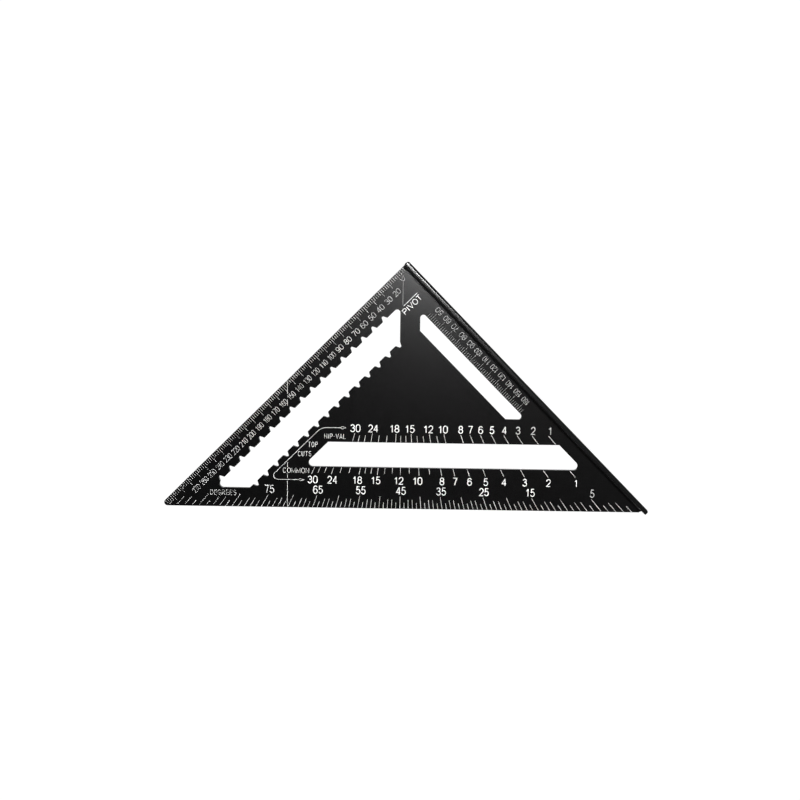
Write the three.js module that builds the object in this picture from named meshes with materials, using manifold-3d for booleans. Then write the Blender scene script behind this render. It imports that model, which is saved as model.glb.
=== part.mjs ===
// A rafter square (speed square) with metric scales: a flat aluminium blade whose foot is held in the
// channel of an extruded T-section fence.
//
// Frame, in millimetres with +Z up: the square stands on its fence. The origin is the centre of the
// fence's underside. +X runs along the fence to the pivot corner, and the face that carries the
// scales looks towards -Y.
//
// The blade's own plane has the pivot as its origin: u runs along the fence, v runs up the graduated
// edge, and both are measured from the point where that edge meets the working face of the fence. The
// long edge is the line u + v = LEG.

import * as THREE from "three";
import { mergeVertices } from "three/addons/utils/BufferGeometryUtils.js";
import Module from "manifold-3d";

const wasm = await Module();
wasm.setup();

// Blade: a 12 in right triangle of plate.
const LEG = 304.8;
const BLADE_THICKNESS = 3;
const TIP_RADIUS = 3;
const TOE_CUT = 0.8;

// Fence: a T-section bar and two lips as long as the blade that grip it. Its long edges are rounded,
// more on the foot's side than on the blade's, and a narrow flat is left between.
const FENCE_WIDTH = 24;
const FENCE_THICKNESS = 4.4;
const FENCE_FOOT_RADIUS = 2.4;
const FENCE_FACE_RADIUS = 0.7;
const LIP_HEIGHT = 1.5;
const LIP_WIDTH = 1.3;
const LIP_RADIUS = 0.4;
const CHANNEL_DEPTH = 3;
const CHANNEL_CLEARANCE = 0.05;
const FENCE_PAST_PIVOT = 0.4;
const FENCE_PAST_TOE = 1.4;
const FENCE_HEEL_RADIUS = 2.5;
const FENCE_SHOULDER_RADIUS = 1;
const FENCE_PLAN_RADIUS = 1;

// The ends of the fence and of the blade along u, and the pivot's place on the standing square.
const FENCE_START = -FENCE_PAST_PIVOT;
const FENCE_END = LEG + FENCE_PAST_TOE;
const BLADE_END = LEG - TOE_CUT;
const FENCE_HEIGHT = FENCE_THICKNESS + LIP_HEIGHT;
const PIVOT_X = (FENCE_START + FENCE_END) / 2;

// Scribing slot beside the graduated edge. Both its long sides carry pencil notches, 1/2 in apart.
const SCRIBE_SLOT_NEAR = 22.4;
const SCRIBE_SLOT_FAR = 45.1;
const SCRIBE_SLOT_FROM_LONG_EDGE = 17.1;
const NOTCH_PITCH = 12.7;
const NOTCH_DEPTH = 3.7;
const NOTCH_MOUTH = 5.4;
const NOTCH_FLOOR = 1.7;
const NOTCH_MOUTH_RADIUS = 1;
const NOTCH_FLOOR_RADIUS = 0.8;
const NEAR_ROW = { first: 44, count: 17 };
const FAR_ROW = { first: 50.7, count: 15 };

// Slot for the rafter scales, parallel to the long edge. Its ends are parallel to the two legs.
const RAFTER_SLOT_NEAR = 37.5;
const RAFTER_SLOT_FAR = 60;
const RAFTER_SLOT_FROM_LEG = 64.3;
const RAFTER_SLOT_FROM_FENCE = 10.3;

// Slot behind the fence scale. Its ends are square to the long edge and parallel to it.
const FENCE_SLOT_NEAR = 16;
const FENCE_SLOT_FAR = 28.7;
const FENCE_SLOT_FROM_LONG_EDGE = 82.4;

// The spine between those slots, square to the long edge. Its sides lie this far from the line that
// halves the right angle, the first towards the graduated edge and the second towards the fence.
const SPINE_TO_LEG = 2.1;
const SPINE_TO_FENCE = 15.4;

// Corner radii. The slots' acute corners are the roundest.
const SHARP = 0.3;
const SLOT_RADIUS = 2.7;
const ACUTE_RADIUS = 3.7;

// How far the outline turns at a slot's acute and blunt corners.
const ACUTE_TURN = (3 * Math.PI) / 4;
const BLUNT_TURN = Math.PI / 4;

// How far a cutting solid runs past what it cuts.
const OVERRUN = 2;
const CORNER_STEPS = 2;
const ROUND_EDGE_STEPS = 4;

// The sum u + v along a line parallel to the long edge, at a distance from it.
const sumAt = (distance) => LEG - distance * Math.SQRT2;

// A closed outline through corners given as [x, y, radius].
function roundedOutline(corners) {
  const outline = new THREE.Shape();
  corners.forEach(([x, y, radius], i) => {
    const corner = new THREE.Vector2(x, y);
    const before = new THREE.Vector2(...corners.at(i - 1));
    const after = new THREE.Vector2(...corners[(i + 1) % corners.length]);
    const arriving = corner.clone().sub(before).normalize();
    const leaving = after.sub(corner).normalize();
    const turn = Math.atan2(arriving.cross(leaving), arriving.dot(leaving));
    const side = Math.sign(turn);
    const setback = radius * Math.tan(Math.abs(turn) / 2);
    const centreX = x - arriving.x * setback - arriving.y * side * radius;
    const centreY = y - arriving.y * setback + arriving.x * side * radius;
    const start = Math.atan2(arriving.y, arriving.x) - (side * Math.PI) / 2;
    outline.absarc(centreX, centreY, radius, start, start + turn, side < 0);
  });
  return outline;
}

// An outline thickened evenly to both sides of its plane.
function slab(outline, thickness, curveSegments) {
  const settings = { depth: thickness, bevelEnabled: false, curveSegments };
  return new THREE.ExtrudeGeometry(outline, settings).translate(0, 0, -thickness / 2);
}

function solidOf(geometry) {
  const bare = geometry.clone().deleteAttribute("normal").deleteAttribute("uv");
  const merged = mergeVertices(bare);
  const vertProperties = merged.attributes.position.array;
  const triVerts = new Uint32Array(merged.index.array);
  return new wasm.Manifold(new wasm.Mesh({ numProp: 3, vertProperties, triVerts }));
}

function geometryOf(solid) {
  const { vertProperties, triVerts } = solid.getMesh();
  const geometry = new THREE.BufferGeometry();
  geometry.setAttribute("position", new THREE.BufferAttribute(vertProperties, 3));
  geometry.setIndex(new THREE.BufferAttribute(triVerts, 1));
  const faceted = geometry.toNonIndexed();
  faceted.computeVertexNormals();
  return faceted;
}

// The triangle of plate. Its foot reaches down into the fence's channel, clear of the channel floor.
function plateOutline() {
  const foot = CHANNEL_CLEARANCE - CHANNEL_DEPTH;
  return roundedOutline([
    [0, foot, SHARP],
    [BLADE_END, foot, SHARP],
    [BLADE_END, LEG - BLADE_END, SHARP],
    [0, LEG, TIP_RADIUS],
  ]);
}

function scribeSlotOutline() {
  const end = sumAt(SCRIBE_SLOT_FROM_LONG_EDGE);
  const rise = SPINE_TO_LEG * Math.SQRT2;
  return roundedOutline([
    [SCRIBE_SLOT_NEAR, SCRIBE_SLOT_NEAR + rise, SLOT_RADIUS],
    [SCRIBE_SLOT_FAR, SCRIBE_SLOT_FAR + rise, SHARP],
    [SCRIBE_SLOT_FAR, end - SCRIBE_SLOT_FAR, SHARP],
    [SCRIBE_SLOT_NEAR, end - SCRIBE_SLOT_NEAR, ACUTE_RADIUS],
  ]);
}

// Where a long side of the scribing slot is straight, between the roundings at its two ends.
function scribeSlotSide(side, turn, firstRadius, lastRadius) {
  const setback = Math.tan(turn / 2);
  return {
    first: side + SPINE_TO_LEG * Math.SQRT2 + firstRadius * setback,
    last: sumAt(SCRIBE_SLOT_FROM_LONG_EDGE) - side - lastRadius * setback,
  };
}

// Half of a pencil notch, from its floor into the slot. toEnd is -1 for the half nearer the fence and
// +1 for the other. The mouth is rounded where the slot's straight side goes on past it, and
// elsewhere the flank runs straight on into the slot's end.
function halfNotch(side, outward, centre, straight, toEnd) {
  const inside = side - outward;
  const corner = (x, fromCentre, radius) => [x, centre + toEnd * fromCentre, radius];
  const floor = corner(side + outward * NOTCH_DEPTH, NOTCH_FLOOR / 2, NOTCH_FLOOR_RADIUS);
  const reach = NOTCH_MOUTH / 2 + NOTCH_MOUTH_RADIUS;
  const past = centre + toEnd * reach;
  if (past > straight.first && past < straight.last) {
    return [
      floor,
      corner(side, NOTCH_MOUTH / 2, NOTCH_MOUTH_RADIUS),
      corner(side, reach, 0),
      corner(inside, reach, SHARP),
    ];
  }
  const flankSlope = (NOTCH_MOUTH - NOTCH_FLOOR) / 2 / NOTCH_DEPTH;
  return [floor, corner(inside, NOTCH_MOUTH / 2 + flankSlope * Math.abs(side - inside), SHARP)];
}

// A pencil notch cut outwards from a long side of the scribing slot. outward is -1 towards the
// graduated edge and +1 away from it. The outline reaches into the slot, so it cuts no new edge there.
function notchOutline(side, outward, centre, straight) {
  const half = (toEnd) => halfNotch(side, outward, centre, straight, toEnd);
  return roundedOutline([...half(-1).reverse(), ...half(1)]);
}

function notchRow(row, side, outward, straight) {
  const centres = Array.from({ length: row.count }, (_, i) => row.first + i * NOTCH_PITCH);
  return centres.map((centre) => notchOutline(side, outward, centre, straight));
}

function rafterSlotOutline() {
  const low = sumAt(RAFTER_SLOT_NEAR);
  const high = sumAt(RAFTER_SLOT_FAR);
  return roundedOutline([
    [RAFTER_SLOT_FROM_LEG, high - RAFTER_SLOT_FROM_LEG, SHARP],
    [high - RAFTER_SLOT_FROM_FENCE, RAFTER_SLOT_FROM_FENCE, SHARP],
    [low - RAFTER_SLOT_FROM_FENCE, RAFTER_SLOT_FROM_FENCE, ACUTE_RADIUS],
    [RAFTER_SLOT_FROM_LEG, low - RAFTER_SLOT_FROM_LEG, ACUTE_RADIUS],
  ]);
}

function fenceSlotOutline() {
  const end = sumAt(FENCE_SLOT_FROM_LONG_EDGE);
  const run = SPINE_TO_FENCE * Math.SQRT2;
  return roundedOutline([
    [FENCE_SLOT_NEAR + run, FENCE_SLOT_NEAR, SLOT_RADIUS],
    [end - FENCE_SLOT_NEAR, FENCE_SLOT_NEAR, SLOT_RADIUS],
    [end - FENCE_SLOT_FAR, FENCE_SLOT_FAR, SHARP],
    [FENCE_SLOT_FAR + run, FENCE_SLOT_FAR, SHARP],
  ]);
}

function bladeGeometry() {
  const nearSide = scribeSlotSide(SCRIBE_SLOT_NEAR, ACUTE_TURN, SLOT_RADIUS, ACUTE_RADIUS);
  const farSide = scribeSlotSide(SCRIBE_SLOT_FAR, BLUNT_TURN, SHARP, SHARP);
  const slots = [scribeSlotOutline(), rafterSlotOutline(), fenceSlotOutline()];
  const notches = [
    ...notchRow(NEAR_ROW, SCRIBE_SLOT_NEAR, -1, nearSide),
    ...notchRow(FAR_ROW, SCRIBE_SLOT_FAR, 1, farSide),
  ];
  const cutter = (outline, steps) => solidOf(slab(outline, BLADE_THICKNESS + OVERRUN, steps));
  const cutters = [
    ...slots.map((outline) => cutter(outline, ROUND_EDGE_STEPS)),
    ...notches.map((outline) => cutter(outline, CORNER_STEPS)),
  ];
  const plate = solidOf(slab(plateOutline(), BLADE_THICKNESS, ROUND_EDGE_STEPS));
  return geometryOf(cutters.reduce((solid, tool) => solid.subtract(tool), plate));
}

// The fence's section: x runs across it from the blade's mid-plane, and y up from the lips' tops.
function fenceSection() {
  const bottom = -FENCE_HEIGHT;
  const face = -LIP_HEIGHT;
  const half = FENCE_WIDTH / 2;
  const channel = BLADE_THICKNESS / 2 + CHANNEL_CLEARANCE;
  const lip = channel + LIP_WIDTH;
  return roundedOutline([
    [-half, bottom, FENCE_FOOT_RADIUS],
    [half, bottom, FENCE_FOOT_RADIUS],
    [half, face, FENCE_FACE_RADIUS],
    [lip, face, LIP_RADIUS],
    [lip, 0, LIP_RADIUS],
    [channel, 0, 0],
    [channel, -CHANNEL_DEPTH, 0],
    [-channel, -CHANNEL_DEPTH, 0],
    [-channel, 0, 0],
    [-lip, 0, LIP_RADIUS],
    [-lip, face, LIP_RADIUS],
    [-half, face, FENCE_FACE_RADIUS],
  ]);
}

// The fence seen from the side. Its lips end with the blade, short of the bar's own round ends.
function fenceSideOutline() {
  return roundedOutline([
    [FENCE_START, -FENCE_HEIGHT, FENCE_HEEL_RADIUS],
    [FENCE_END, -FENCE_HEIGHT, FENCE_HEEL_RADIUS],
    [FENCE_END, -LIP_HEIGHT, FENCE_SHOULDER_RADIUS],
    [BLADE_END, -LIP_HEIGHT, 0],
    [BLADE_END, 0, SHARP],
    [0, 0, SHARP],
    [0, -LIP_HEIGHT, 0],
    [FENCE_START, -LIP_HEIGHT, FENCE_PAST_PIVOT],
  ]);
}

function fencePlanOutline() {
  const half = FENCE_WIDTH / 2;
  return roundedOutline([
    [FENCE_START, -half, FENCE_PLAN_RADIUS],
    [FENCE_END, -half, FENCE_PLAN_RADIUS],
    [FENCE_END, half, FENCE_PLAN_RADIUS],
    [FENCE_START, half, FENCE_PLAN_RADIUS],
  ]);
}

// The section run along the fence, then trimmed to its outlines from the side and from above.
function fenceGeometry() {
  const bar = slab(fenceSection(), FENCE_END - FENCE_START + OVERRUN, ROUND_EDGE_STEPS);
  bar.rotateY(Math.PI / 2).translate(PIVOT_X, 0, 0);
  const fromSide = slab(fenceSideOutline(), FENCE_WIDTH + OVERRUN, CORNER_STEPS);
  const fromAbove = slab(fencePlanOutline(), 2 * FENCE_HEIGHT + OVERRUN, CORNER_STEPS);
  fromAbove.rotateX(Math.PI / 2);
  return geometryOf(solidOf(bar).intersect(solidOf(fromSide)).intersect(solidOf(fromAbove)));
}

const blackCoat = { color: 0x1d1e20, roughness: 0.42, metalness: 0.55 };

const blade = new THREE.Mesh(bladeGeometry(), new THREE.MeshStandardMaterial(blackCoat));
blade.name = "blade";

const fence = new THREE.Mesh(fenceGeometry(), new THREE.MeshStandardMaterial(blackCoat));
fence.name = "fence";

// The blade's plane stood up: u runs towards -X, v towards +Z, and the scales' face towards -Y.
const bladePlane = new THREE.Group();
bladePlane.position.set(PIVOT_X, 0, FENCE_HEIGHT);
bladePlane.rotation.set(Math.PI / 2, Math.PI, 0);
bladePlane.add(blade, fence);

const square = new THREE.Group();
square.add(bladePlane);

export default square;
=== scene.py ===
import math
import bmesh
import bpy
from mathutils import Matrix, Vector


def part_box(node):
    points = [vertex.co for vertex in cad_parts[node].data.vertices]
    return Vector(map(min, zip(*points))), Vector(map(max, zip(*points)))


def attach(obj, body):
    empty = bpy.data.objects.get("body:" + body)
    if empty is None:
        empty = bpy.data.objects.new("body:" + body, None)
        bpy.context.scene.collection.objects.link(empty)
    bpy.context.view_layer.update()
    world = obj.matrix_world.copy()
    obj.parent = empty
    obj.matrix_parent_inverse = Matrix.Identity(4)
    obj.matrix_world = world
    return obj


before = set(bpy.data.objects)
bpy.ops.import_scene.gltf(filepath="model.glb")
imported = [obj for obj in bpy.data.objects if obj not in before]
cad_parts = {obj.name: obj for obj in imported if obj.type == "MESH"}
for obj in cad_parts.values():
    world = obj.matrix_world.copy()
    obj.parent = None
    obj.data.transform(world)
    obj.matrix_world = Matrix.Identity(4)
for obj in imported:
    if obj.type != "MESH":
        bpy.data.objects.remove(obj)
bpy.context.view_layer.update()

# A rafter square with white metric scales. Lengths on the square are in millimetres here, and in
# metres in Blender. The studio around it is in metres.
MM = 0.001
LEG = 304.8
ROOT2 = math.sqrt(2)
LONG_EDGE_B = LEG / ROOT2

# The blade's front face carries the print. u runs along the fence from the pivot and v up the
# graduated edge. Along the long edge, a runs across and b runs from the pivot towards that edge.
blade_low, blade_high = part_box("blade")
fence_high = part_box("fence")[1]
PIVOT = Vector((blade_high.x, blade_low.y, fence_high.z))


def plate(u, v, lift=0.0):
    """A point over the blade's front face, in metres. lift is towards the viewer."""
    return PIVOT + Vector((-u, -lift, v)) * MM


def along(a, b):
    """Long-edge coordinates as (u, v)."""
    return (a + b) / ROOT2, (b - a) / ROOT2


def link(name, data):
    """A new object in the scene."""
    thing = bpy.data.objects.new(name, data)
    bpy.context.scene.collection.objects.link(thing)
    return thing


# ---------------------------------------------------------------- print
PRINT_LIFT = 0.02
PRINT_STEP = 0.004
PRINT_LEVELS = 4
PRINT_ROOT = -0.03
MITRE_LIMIT = 1.7
MITRE_FLOOR = 1e-3
NO_LENGTH = 1e-6
CURVE_STEPS = 14
FILLET_STEPS = 8


def arc(cx, cy, rx, ry, start, end, steps=CURVE_STEPS):
    angles = [math.radians(start + (end - start) * i / steps) for i in range(steps + 1)]
    return [(cx + rx * math.cos(t), cy + ry * math.sin(t)) for t in angles]


def ring(cx, cy, rx, ry, steps=2 * CURVE_STEPS):
    return arc(cx, cy, rx, ry, 0, 360, steps)[:-1]


def stem_and_bowl(width):
    """The stem and bowl that P and R share. width is the bowl's."""
    return ([(0, 0), (0, 1), (0.6, 1)] + arc(0.62, 0.74, width, 0.26, 80, -80)
            + [(0.6, 0.48), (0, 0.48)])


# Grotesque capitals and numerals, drawn as centre lines in a unit box. Each is
# (width, open strokes, closed strokes).
SIX_STEM = arc(0.52, 0.7, 0.46, 0.3, 25, 165, 12) + arc(0.5, 0.3, 0.5, 0.38, 150, 180, 4)
NINE_STEM = [(1 - x, 1 - y) for x, y in SIX_STEM]
GLYPHS = {
    "0": (1, [], [arc(0.5, 0.68, 0.5, 0.32, 0, 180) + arc(0.5, 0.32, 0.5, 0.32, 180, 360)]),
    "1": (1, [[(0.68, 0), (0.68, 1)], [(0.22, 0.74), (0.5, 0.8), (0.68, 1)]], []),
    "2": (1, [arc(0.5, 0.7, 0.47, 0.3, 172, -38) + [(0.0, 0.0), (1.0, 0.0)]], []),
    "3": (1, [arc(0.47, 0.76, 0.42, 0.24, 165, -80) + [(0.38, 0.53)],
              [(0.38, 0.53)] + arc(0.48, 0.27, 0.5, 0.27, 80, -165)], []),
    "4": (1, [[(0.74, 0), (0.74, 1)], [(0.72, 1), (0.0, 0.28), (1.0, 0.28)]], []),
    "5": (1, [[(0.92, 1), (0.2, 1), (0.1, 0.48)], arc(0.48, 0.32, 0.5, 0.32, 138, -160)], []),
    "6": (1, [SIX_STEM], [ring(0.5, 0.31, 0.5, 0.31)]),
    "7": (1, [[(0.0, 1), (1.0, 1), (0.62, 0.5), (0.42, 0)]], []),
    "8": (1, [], [ring(0.5, 0.76, 0.42, 0.24), ring(0.5, 0.27, 0.5, 0.27)]),
    "9": (1, [NINE_STEM], [ring(0.5, 0.69, 0.5, 0.31)]),
    "-": (0.55, [[(0, 0.45), (1, 0.45)]], []),
    "A": (1.1, [[(0, 0), (0.5, 1), (1, 0)], [(0.18, 0.33), (0.82, 0.33)]], []),
    "C": (1.1, [arc(0.5, 0.5, 0.5, 0.5, 42, 318)], []),
    "D": (1.05, [], [[(0, 0), (0, 1), (0.4, 1)] + arc(0.45, 0.5, 0.55, 0.5, 80, -80)
                     + [(0.4, 0)]]),
    "E": (0.95, [[(1, 1), (0, 1), (0, 0), (1, 0)], [(0, 0.52), (0.9, 0.52)]], []),
    "G": (1.1, [arc(0.5, 0.5, 0.5, 0.5, 42, 340) + [(0.98, 0.46), (0.55, 0.46)]], []),
    "H": (1.05, [[(0, 0), (0, 1)], [(1, 0), (1, 1)], [(0, 0.52), (1, 0.52)]], []),
    "I": (0.4, [[(0.5, 0), (0.5, 1)]], []),
    "L": (0.9, [[(0, 1), (0, 0), (1, 0)]], []),
    "M": (1.25, [[(0, 0), (0, 1), (0.5, 0.1), (1, 1), (1, 0)]], []),
    "N": (1.05, [[(0, 0), (0, 1), (1, 0), (1, 1)]], []),
    "O": (1.15, [], [ring(0.5, 0.5, 0.5, 0.5, 32)]),
    "P": (1, [stem_and_bowl(0.38)], []),
    "R": (1.05, [stem_and_bowl(0.36), [(0.55, 0.48), (1, 0)]], []),
    "S": (1, [arc(0.5, 0.74, 0.44, 0.26, 30, 250, 9) + arc(0.5, 0.27, 0.5, 0.27, 75, -150, 9)], []),
    "T": (1, [[(0, 1), (1, 1)], [(0.5, 1), (0.5, 0)]], []),
    "U": (1.05, [[(0, 1)] + arc(0.5, 0.36, 0.5, 0.36, 180, 360) + [(1, 1)]], []),
    "V": (1.1, [[(0, 1), (0.5, 0), (1, 1)]], []),
}


class Print:
    """Flat white marks on the blade, gathered into one mesh. tone is how solid a mark's ink is."""

    def __init__(self, name):
        self.name = name
        self.bm = bmesh.new()
        self.tone = self.bm.verts.layers.float.new("tone")
        self.strokes = 0

    def stroke(self, points, width, tone=1.0, closed=False):
        """A ribbon with mitred corners along (u, v) points."""
        line = [Vector(p) for p in points]
        count, half = len(line), width / 2
        sides = []
        for i, here in enumerate(line):
            before = line[i - 1] if closed or i else None
            after = line[(i + 1) % count] if closed or i < count - 1 else None
            into = (here - before).normalized() if before is not None else None
            out = (after - here).normalized() if after is not None else None
            into, out = into or out, out or into
            normal = Vector((-(into + out).y, (into + out).x))
            if normal.length > NO_LENGTH:
                normal = normal.normalized()
            else:
                normal = Vector((-into.y, into.x))
            mitre = 1 / max(MITRE_FLOOR, normal.dot(Vector((-out.y, out.x))))
            reach = half * min(MITRE_LIMIT, mitre)
            sides.append((here + normal * reach, here - normal * reach))
        # Strokes take turns at a few heights, so those that cross in a glyph don't share a plane.
        top = PRINT_LIFT + PRINT_STEP * (self.strokes % PRINT_LEVELS)
        self.strokes += 1
        rows = []
        for left, right in sides:
            row = [self.bm.verts.new(plate(p.x, p.y, z))
                   for p, z in ((left, top), (right, top), (right, PRINT_ROOT), (left, PRINT_ROOT))]
            for vert in row:
                vert[self.tone] = tone
            rows.append(row)
        pairs = list(zip(rows, rows[1:])) + ([(rows[-1], rows[0])] if closed else [])
        for first, second in pairs:
            for k in range(4):
                after_k = (k + 1) % 4
                self.bm.faces.new((first[k], second[k], second[after_k], first[after_k]))
        if not closed:
            self.bm.faces.new(rows[0])
            self.bm.faces.new(reversed(rows[-1]))

    def text(self, word, centre, across, height, weight, digit, gap, length=None, tone=1.0):
        """A word centred on (u, v), reading along across, with its top a quarter turn to the left.

        digit is a numeral's width and weight the stroke's. length stretches the word to fit.
        """
        across = Vector(across).normalized()
        rise = Vector((across.y, -across.x))
        gaps = gap * (len(word) - 1)
        widths = [max(GLYPHS[c][0] * digit, weight) for c in word]
        if length:
            scale = (length - gaps) / sum(widths)
            widths = [max(w * scale, weight) for w in widths]
        pen = -(sum(widths) + gaps) / 2
        for c, w in zip(word, widths):
            for strokes, closed in ((GLYPHS[c][1], False), (GLYPHS[c][2], True)):
                for points in strokes:
                    placed = []
                    for x, y in points:
                        right = pen + weight / 2 + x * (w - weight)
                        upward = weight / 2 + y * (height - weight) - height / 2
                        placed.append(Vector(centre) + across * right + rise * upward)
                    self.stroke(placed, weight, tone, closed)
            pen += w + gap

    def finish(self):
        """Makes the marks one piece that rides on the square."""
        bmesh.ops.recalc_face_normals(self.bm, faces=self.bm.faces)
        mesh = bpy.data.meshes.new(self.name)
        self.bm.to_mesh(mesh)
        self.bm.free()
        mesh.materials.append(INK)
        piece = link(self.name, mesh)
        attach(piece, "root")


# ---------------------------------------------------------------- materials
# The sockets of a Mix node that mixes colours.
MIX_FACTOR, MIX_FIRST, MIX_SECOND, MIX_RESULT = 0, 6, 7, 2

NOISE_ROUGHNESS = 0.55
GLOSS_SPREAD = 0.035
DEEP_BLACKS = ((0.001, 0.001, 0.0011), (0.0022, 0.0022, 0.0023))
WORN_BLACKS = ((0.002, 0.002, 0.0021), (0.005, 0.005, 0.0052))
THIN_INK = (0.015, 0.015, 0.016)
SOLID_INK = (0.86, 0.86, 0.85)
INK_SPECULAR = 0.2


def material(name):
    surface = bpy.data.materials.new(name)
    surface.use_nodes = True
    return surface, surface.node_tree, surface.node_tree.nodes["Principled BSDF"]


def noise(tree, scale, detail=3.0):
    """Noise with its grain in millimetres: a feature is about scale across."""
    place = tree.nodes.new("ShaderNodeTexCoord")
    node = tree.nodes.new("ShaderNodeTexNoise")
    node.inputs["Scale"].default_value = 1 / (scale * MM)
    node.inputs["Detail"].default_value = detail
    node.inputs["Roughness"].default_value = NOISE_ROUGHNESS
    tree.links.new(place.outputs["Object"], node.inputs["Vector"])
    return node.outputs["Fac"]


def ramp(tree, value, low, high, first, second):
    """Maps value from low..high to first..second."""
    node = tree.nodes.new("ShaderNodeMapRange")
    node.inputs["From Min"].default_value = low
    node.inputs["From Max"].default_value = high
    node.inputs["To Min"].default_value = first
    node.inputs["To Max"].default_value = second
    tree.links.new(value, node.inputs["Value"])
    return node.outputs["Result"]


def mix_colour(tree, factor, first, second):
    node = tree.nodes.new("ShaderNodeMix")
    node.data_type = "RGBA"
    node.inputs[MIX_FIRST].default_value = (*first, 1)
    node.inputs[MIX_SECOND].default_value = (*second, 1)
    tree.links.new(factor, node.inputs[MIX_FACTOR])
    return node.outputs[MIX_RESULT]


def bump(tree, shader, height, strength, distance):
    """Relief from height. distance is in millimetres."""
    node = tree.nodes.new("ShaderNodeBump")
    node.inputs["Strength"].default_value = strength
    node.inputs["Distance"].default_value = distance * MM
    tree.links.new(height, node.inputs["Height"])
    tree.links.new(node.outputs["Normal"], shader.inputs["Normal"])


def anodised(name, blacks, gloss, specular, grain):
    """Black anodised aluminium with a fine blasted grain and faint mottling.

    gloss is the middle of the roughness and grain the size of the blasting, in millimetres.
    """
    coat, tree, shader = material(name)
    mottle = ramp(tree, noise(tree, scale=9.0, detail=4.0), 0.3, 0.7, 0, 1)
    fine = noise(tree, grain, detail=2.0)
    roughness = ramp(tree, fine, 0.25, 0.75, gloss - GLOSS_SPREAD, gloss + GLOSS_SPREAD)
    tree.links.new(mix_colour(tree, mottle, *blacks), shader.inputs["Base Color"])
    tree.links.new(roughness, shader.inputs["Roughness"])
    shader.inputs["Specular IOR Level"].default_value = specular
    bump(tree, shader, fine, strength=0.15, distance=0.008)
    return coat


def ink(name):
    """White ink, a little thin in places. The tone attribute says how solid each mark is."""
    coat, tree, shader = material(name)
    wear = ramp(tree, noise(tree, scale=1.3), 0.3, 0.62, 0.8, 1.0)
    tone = tree.nodes.new("ShaderNodeAttribute")
    tone.attribute_name = "tone"
    amount = tree.nodes.new("ShaderNodeMath")
    amount.operation = "MULTIPLY"
    tree.links.new(wear, amount.inputs[0])
    tree.links.new(tone.outputs["Fac"], amount.inputs[1])
    colour = mix_colour(tree, amount.outputs[0], THIN_INK, SOLID_INK)
    roughness = ramp(tree, noise(tree, scale=0.5), 0.3, 0.7, 0.55, 0.75)
    tree.links.new(colour, shader.inputs["Base Color"])
    tree.links.new(roughness, shader.inputs["Roughness"])
    shader.inputs["Specular IOR Level"].default_value = INK_SPECULAR
    bump(tree, shader, noise(tree, scale=0.3), strength=0.2, distance=0.01)
    return coat


BLADE_BLACK = anodised("black_anodised_blade", DEEP_BLACKS, gloss=0.232, specular=0.36, grain=0.55)
FENCE_BLACK = anodised("black_anodised_fence", DEEP_BLACKS, gloss=0.25, specular=0.4, grain=0.45)
EDGE_BLACK = anodised("black_anodised_edge", WORN_BLACKS, gloss=0.34, specular=0.36, grain=0.4)
INK = ink("white_marking")

# ---------------------------------------------------------------- the two solids
WELD_METRES = 1e-6
FLAT_DEGREES = 0.5
SHARP_DEGREES = 50
BEVEL_SEGMENTS = 2
EDGE_SLOT = 1


def soften(node, base, width):
    """A CAD node with its true shape, a finish, and fine broken edges."""
    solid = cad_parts[node]
    solid.data.materials.clear()
    solid.data.materials.append(base)
    solid.data.materials.append(EDGE_BLACK)
    solid.modifiers.new("join", "WELD").merge_threshold = WELD_METRES
    flat = solid.modifiers.new("flat faces", "DECIMATE")
    flat.decimate_type = "DISSOLVE"
    flat.angle_limit = math.radians(FLAT_DEGREES)
    bevel = solid.modifiers.new("broken edges", "BEVEL")
    bevel.width = width * MM
    bevel.segments = BEVEL_SEGMENTS
    bevel.limit_method = "ANGLE"
    bevel.angle_limit = math.radians(SHARP_DEGREES)
    bevel.material = EDGE_SLOT
    bevel.harden_normals = True


soften("blade", BLADE_BLACK, 0.18)
soften("fence", FENCE_BLACK, 0.2)

# ---------------------------------------------------------------- graduated edge
# The directions that words and numbers read in.
TOWARDS_PIVOT = (0, -1)
FENCE_WAY = (-1, 0)
ACROSS = (1, -1)

FINE_TICK = 0.22
MARK_STEP, LABEL_STEP = 2, 10
# Stroke weight, digit width and gap. The three-digit numbers are set narrower to fit their 10 mm.
TWO_DIGITS = (0.4, 3.2, 0.5)
THREE_DIGITS = (0.28, 2.3, 0.36)


def fine_digits(number):
    return TWO_DIGITS if number < 100 else THREE_DIGITS


LEG_TICK_START, LEG_TICK_END, LEG_LONG_TICK_END = 0.3, 4.3, 7.6
LEG_NUMBERS_U, LEG_NUMBERS_HEIGHT = 12.3, 5.0

leg_ticks = Print("leg_scale_ticks")
for v in range(2, 300, MARK_STEP):
    end = LEG_TICK_END if v % LABEL_STEP else LEG_LONG_TICK_END
    leg_ticks.stroke([(LEG_TICK_START, v), (end, v)], FINE_TICK, tone=0.82)
leg_ticks.finish()

# The numbers nearest the pivot are fainter.
leg_numbers = Print("leg_scale_numbers")
for v in range(20, 280, LABEL_STEP):
    leg_numbers.text(str(v), (LEG_NUMBERS_U, v), TOWARDS_PIVOT, LEG_NUMBERS_HEIGHT,
                     *fine_digits(v), tone=0.6 if v < 70 else 0.88)
leg_numbers.finish()

# ---------------------------------------------------------------- degree scale
# Stroke weight, digit width and gap of the bold numbers on the degree and rafter scales.
DEGREE_DIGITS = (0.72, 4.1, 0.55)
RAFTER_DIGITS = (0.72, 4.2, 0.55)
# How far a tick reaches from the long edge, by how far its degree is from a multiple of five.
DEGREE_TICK_REACH = (11.3, 5.6, 8.4)
DEGREE_TICK = 0.33
# From here on the ticks start farther from the edge and are fainter.
STEEP_DEGREES = 82
# The numbers stand on the first line b, at the a where their rays cross the second.
DEGREE_NUMBERS_B, DEGREE_NUMBERS_RAY_B = 199.1, 204
DEGREE_NUMBERS_HEIGHT = 7.3


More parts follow.
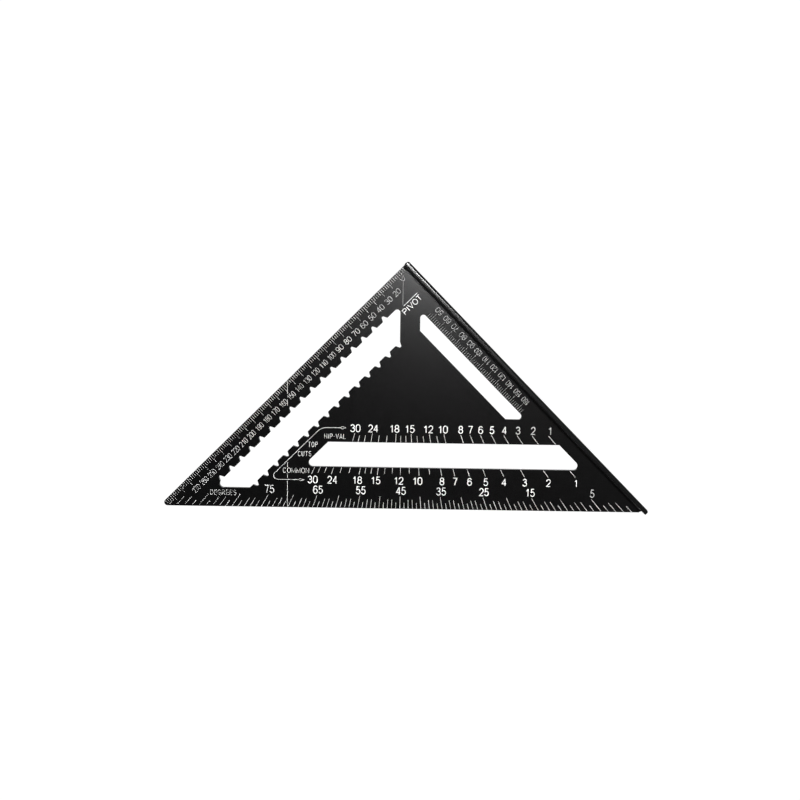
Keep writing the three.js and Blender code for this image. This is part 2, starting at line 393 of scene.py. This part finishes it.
def ray(ratio, b):
    """Where the ray from the pivot with a / b = ratio crosses the line b."""
    return along(ratio * b, b)


def degree_ratio(degrees):
    slope = math.tan(math.radians(degrees))
    return (1 - slope) / (1 + slope)


def nudge(number, others):
    """How far a label's middle sits from its ray. The numbers 10 to 19 stand out to the left."""
    return -1.6 if 10 <= number < 20 else others


degree_ticks = Print("degree_ticks")
for degrees in range(1, 90):
    reach = DEGREE_TICK_REACH[min(degrees % 5, 5 - degrees % 5)]
    inset, tone = (0.3, 0.85) if degrees < STEEP_DEGREES else (1.6, 0.6)
    ratio = degree_ratio(degrees)
    ends = [ray(ratio, LONG_EDGE_B - inset), ray(ratio, LONG_EDGE_B - reach)]
    degree_ticks.stroke(ends, DEGREE_TICK, tone)
degree_ticks.finish()

degree_numbers = Print("degree_numbers")
for degrees in range(5, 80, 10):
    a = degree_ratio(degrees) * DEGREE_NUMBERS_RAY_B + nudge(degrees, 0.8)
    tone = {5: 0.5, 75: 0.8}.get(degrees, 1.0)
    degree_numbers.text(str(degrees), along(a, DEGREE_NUMBERS_B), ACROSS, DEGREE_NUMBERS_HEIGHT,
                        *DEGREE_DIGITS, tone=tone)
degree_numbers.finish()

# ---------------------------------------------------------------- rafter scales
RUN = 12
RAFTER_TICK = 0.36
RAFTER_NUMBERS_HEIGHT = 7.0
RAFTER_RISES = (*range(1, 19), *range(20, 31, 2))
RAFTER_LABELS = (1, 2, 3, 4, 5, 6, 7, 8, 10, 12, 15, 18, 24, 30)
SLOT_LOW_B = LONG_EDGE_B - 37.5
SLOT_HIGH_B = LONG_EDGE_B - 60


def rafter_scale(name, unit, edge, labelled_end, plain_end, number_b, label_at, single,
                 skipped, dim):
    """Marks on one side of the slanted slot. unit is the run that each rise is set against.

    Each tick runs from the line b = edge to b = labelled_end, or plain_end where it has no number.
    The numbers stand on the line b = number_b, at the a where their rays cross b = label_at. Those
    below 10 are moved across by single. skipped rises have no mark, and dim holds fainter tones.
    """
    ticks = Print(name + "_ticks")
    numbers = Print(name + "_numbers")
    for rise in RAFTER_RISES:
        if rise in skipped:
            continue
        ratio = (unit - rise) / (unit + rise)
        end = labelled_end if rise in RAFTER_LABELS else plain_end
        ticks.stroke([ray(ratio, edge), ray(ratio, end)], RAFTER_TICK, tone=0.8)
        if rise in RAFTER_LABELS:
            a = ratio * label_at + nudge(rise, 1.0 if rise > 20 else single)
            numbers.text(str(rise), along(a, number_b), ACROSS, RAFTER_NUMBERS_HEIGHT,
                         *RAFTER_DIGITS, tone=dim.get(rise, 1.0))
    ticks.finish()
    numbers.finish()


rafter_scale("common", RUN, SLOT_LOW_B + 0.3, labelled_end=184.8, plain_end=183.5,
             number_b=189.9, label_at=185, single=0.3, skipped=(), dim={1: 0.85})
rafter_scale("hip_val", RUN * ROOT2, SLOT_HIGH_B - 0.3, labelled_end=147.5, plain_end=149.3,
             number_b=143.0, label_at=149.5, single=-0.7, skipped=(9,),
             dim={1: 0.55, 2: 0.6, 3: 0.7, 4: 0.85})

# ---------------------------------------------------------------- fence scale
FENCE_TICK_START, FENCE_TICK_END, FENCE_LONG_TICK_END = 15.7, 11.3, 8.2
FENCE_NUMBERS_V, FENCE_NUMBERS_HEIGHT = 4.85, 4.9

fence_ticks = Print("fence_scale_ticks")
fence_numbers = Print("fence_scale_numbers")
for u in range(46, 166, MARK_STEP):
    end = FENCE_TICK_END if u % LABEL_STEP else FENCE_LONG_TICK_END
    fence_ticks.stroke([(u, FENCE_TICK_START), (u, end)], FINE_TICK, tone=0.45)
for u in range(50, 170, LABEL_STEP):
    fence_numbers.text(str(u), (u, FENCE_NUMBERS_V), FENCE_WAY, FENCE_NUMBERS_HEIGHT,
                       *fine_digits(u), tone=0.42 if u < 100 else 0.6)
fence_ticks.finish()
fence_numbers.finish()

# ---------------------------------------------------------------- words and leaders
# A letter's usual width as a share of its height. length then stretches the word to fit.
LETTER_SHAPE = 0.62
words = Print("scale_words")
for word, a0, a1, b0, b1, tone in (
    ("HIP-VAL", -68, -49, 148.2, 152.8, 0.9),
    ("TOP", -82.3, -74, 155.8, 160.5, 0.85),
    ("CUTS", -91.5, -79.5, 164.3, 168.9, 0.95),
    ("COMMON", -105, -81.5, 179.4, 184.2, 1.0),
    ("DEGREES", -170, -146.5, 200.4, 205.1, 0.55),
):
    height = b1 - b0
    words.text(word, along((a0 + a1) / 2, (b0 + b1) / 2), ACROSS, height, weight=0.38,
               digit=height * LETTER_SHAPE, gap=0.75, length=a1 - a0, tone=tone)
words.finish()

# One straight line across the blade, broken where it meets the leader, a word, the scribing slot
# and a number.
GAUGE_A = -100.8
gauge = Print("gauge_line")
for b0, b1 in ((215.2, 191.3), (189.0, 184.8), (178.8, 174.3), (123.8, 118.2), (113.1, 102.0)):
    gauge.stroke([along(GAUGE_A, b0), along(GAUGE_A, b1)], width=0.42, tone=0.85)
gauge.finish()


def fillet(before, corner, after, radius):
    """Points of a round corner."""
    before, corner, after = Vector(before), Vector(corner), Vector(after)
    back, ahead = (before - corner).normalized(), (after - corner).normalized()
    half = back.angle(ahead) / 2
    centre = corner + (back + ahead).normalized() * radius / math.sin(half)
    first = corner + back * radius / math.tan(half) - centre
    turn = first.angle_signed(corner + ahead * radius / math.tan(half) - centre)
    return [centre + Matrix.Rotation(-turn * i / FILLET_STEPS, 2) @ first
            for i in range(FILLET_STEPS + 1)]


def arrowhead(marks, tip, direction, size, weight, tone):
    """An open teardrop that points along direction."""
    ahead = Vector(direction).normalized()
    side = Vector((-ahead.y, ahead.x))
    outline = [(0, 0)] + arc(-0.7, 0, 0.3, 0.23, 65, 295)
    points = [Vector(tip) + ahead * x * size + side * y * size for x, y in outline]
    marks.stroke(points, weight, tone, closed=True)


# The leader that joins the COMMON and HIP-VAL scales runs round the end of the slanted slot.
LEADER_U = 51.0
LOW_B, HIGH_B = 190.2, 142.8
low_corner = along(LEADER_U * ROOT2 - LOW_B, LOW_B)
high_corner = along(LEADER_U * ROOT2 - HIGH_B, HIGH_B)
low_tip, high_tip = along(-86, LOW_B), along(-49, HIGH_B)
path = [along(-90.3, LOW_B)]
path += fillet(low_tip, low_corner, high_corner, radius=3.5)
path += fillet(low_corner, high_corner, high_tip, radius=12)
path.append(along(-53.3, HIGH_B))
leader = Print("top_cuts_leader")
leader.stroke(path, width=0.46, tone=0.75)
for tip in (low_tip, high_tip):
    arrowhead(leader, tip, ACROSS, size=4.4, weight=0.34, tone=0.85)
leader.finish()

pivot = Print("pivot_mark")
pivot.text("PIVOT", (29.2, 17.7), TOWARDS_PIVOT, height=5.2, weight=0.55, digit=4.2, gap=0.5,
           length=21.0, tone=0.95)
pivot.stroke([(24.9, 24.0), (24.9, 7.5)], width=0.5, tone=0.85)
pivot.stroke([(24, 24), (9.4, 9.4)], width=0.45, tone=0.25)
arrowhead(pivot, (5.5, 5.5), (-1, -1), size=5.0, weight=0.4, tone=0.4)
pivot.finish()

# ---------------------------------------------------------------- floor and world
FLOOR_HALF = 8.0
FLOOR_DARK, FLOOR_LIGHT = (0.5, 0.5, 0.5), (0.54, 0.54, 0.54)
FLOOR_MOTTLE = 60.0
FLOOR_ROUGHNESS = 0.9
WHITE = (1, 1, 1, 1)


def seen_or_lit(tree, seen, lit):
    """A strength that is seen directly at one level and lights the object at another."""
    path = tree.nodes.new("ShaderNodeLightPath")
    return ramp(tree, path.outputs["Is Camera Ray"], 0, 1, lit, seen)


floor_mesh = bpy.data.meshes.new("floor")
floor_corners = [(FLOOR_HALF * x, FLOOR_HALF * y, 0)
                 for x, y in ((-1, -1), (1, -1), (1, 1), (-1, 1))]
floor_mesh.from_pydata(floor_corners, [], [(0, 1, 2, 3)])
floor = link("floor", floor_mesh)
floor_white, floor_tree, floor_shader = material("floor_white")
floor_colour = mix_colour(floor_tree, noise(floor_tree, FLOOR_MOTTLE), FLOOR_DARK, FLOOR_LIGHT)
floor_tree.links.new(floor_colour, floor_shader.inputs["Base Color"])
floor_shader.inputs["Roughness"].default_value = FLOOR_ROUGHNESS
floor_shader.inputs["Specular IOR Level"].default_value = 0.0
floor_shader.inputs["Emission Color"].default_value = WHITE
floor_glow = seen_or_lit(floor_tree, seen=0.86, lit=0.0)
floor_tree.links.new(floor_glow, floor_shader.inputs["Emission Strength"])
floor_mesh.materials.append(floor_white)

world = bpy.data.worlds.new("studio")
bpy.context.scene.world = world
world.use_nodes = True
background = world.node_tree.nodes["Background"]
background.inputs["Color"].default_value = WHITE
world_glow = seen_or_lit(world.node_tree, seen=1.05, lit=0.03)
world.node_tree.links.new(world_glow, background.inputs["Strength"])

# ---------------------------------------------------------------- camera
EYE = plate(15.0, 15.8, 789.7)
YAW, PITCH, ROLL = (math.radians(angle) for angle in (4.847, 4.902, -133.929))
UPRIGHT = math.radians(90)
LENS, SENSOR = 40.5, 36
NEAR_CLIP = 0.01

camera_data = bpy.data.cameras.new("camera")
camera_data.lens = LENS
camera_data.sensor_width = SENSOR
camera_data.clip_start = NEAR_CLIP
camera = link("camera", camera_data)
turn = (Matrix.Rotation(YAW, 4, "Z") @ Matrix.Rotation(UPRIGHT + PITCH, 4, "X")
        @ Matrix.Rotation(ROLL, 4, "Z"))
camera.matrix_world = Matrix.Translation(EYE) @ turn
bpy.context.scene.camera = camera

# ---------------------------------------------------------------- lights
SQUARE_MIDDLE = (0, 0, 0.12)
OVERHEAD_SPREAD = math.radians(18)

# The floor doesn't block the key light and the boxes, some of which lie below its level.
unshaded = bpy.data.collections.new("key light passes")
unshaded.objects.link(floor)
unshaded.collection_objects[0].light_linking.link_state = "EXCLUDE"


def lamp(kind, name, place, target, power):
    data = bpy.data.lights.new(name, kind)
    data.energy = power
    light = link(name, data)
    light.location = place
    light.visible_camera = False
    facing = (Vector(target) - Vector(place)).to_track_quat("-Z", "Y")
    light.rotation_euler = facing.to_euler()
    return light


def soft_box(name, place, target, width, height, power):
    """An area light that the floor doesn't block."""
    box = lamp("AREA", name, place, target, power)
    box.data.shape = "RECTANGLE"
    box.data.size, box.data.size_y = width, height
    box.light_linking.blocker_collection = unshaded
    return box


# The key light comes from the fence's side, so the fence shades the foot of the blade. On the
# standing square that is below the floor's level.
soft_box("key", plate(-67, -195, 840), plate(30, 20), width=0.12, height=0.08, power=10.4)

# A soft overhead light gives the square its shadow on the floor behind it.
overhead = lamp("SUN", "overhead", (0.35, -1.0, 1.3), (0, 0, 0), power=1.3)
overhead.data.angle = OVERHEAD_SPREAD

# Broad boxes that only show as reflections in the coat, for the back, the ends and the top. The
# upright faces mirror what lies below the horizon when they are seen from above, which is why some
# of the boxes are low.
for name, place, width, height, power in (
    ("back box", (0.0, 1.3, 1.1), 2.4, 0.7, 16.0),
    ("left box", (-1.7, 0.1, 0.7), 1.2, 1.0, 12.0),
    ("right box", (1.7, 0.1, 0.7), 1.2, 1.0, 12.0),
    ("top box", (0.0, 0.5, 1.9), 1.6, 1.4, 11.0),
    ("low back box", (0.0, 1.6, -0.5), 4.4, 1.4, 21.0),
    ("low left box", (-1.4, -1.2, -0.4), 1.0, 0.5, 2.5),
    ("low right box", (1.4, -1.2, -0.4), 1.0, 0.5, 5.0),
):
    soft_box(name, place, SQUARE_MIDDLE, width, height, power).visible_diffuse = False

bpy.context.scene.view_settings.view_transform = "Standard"
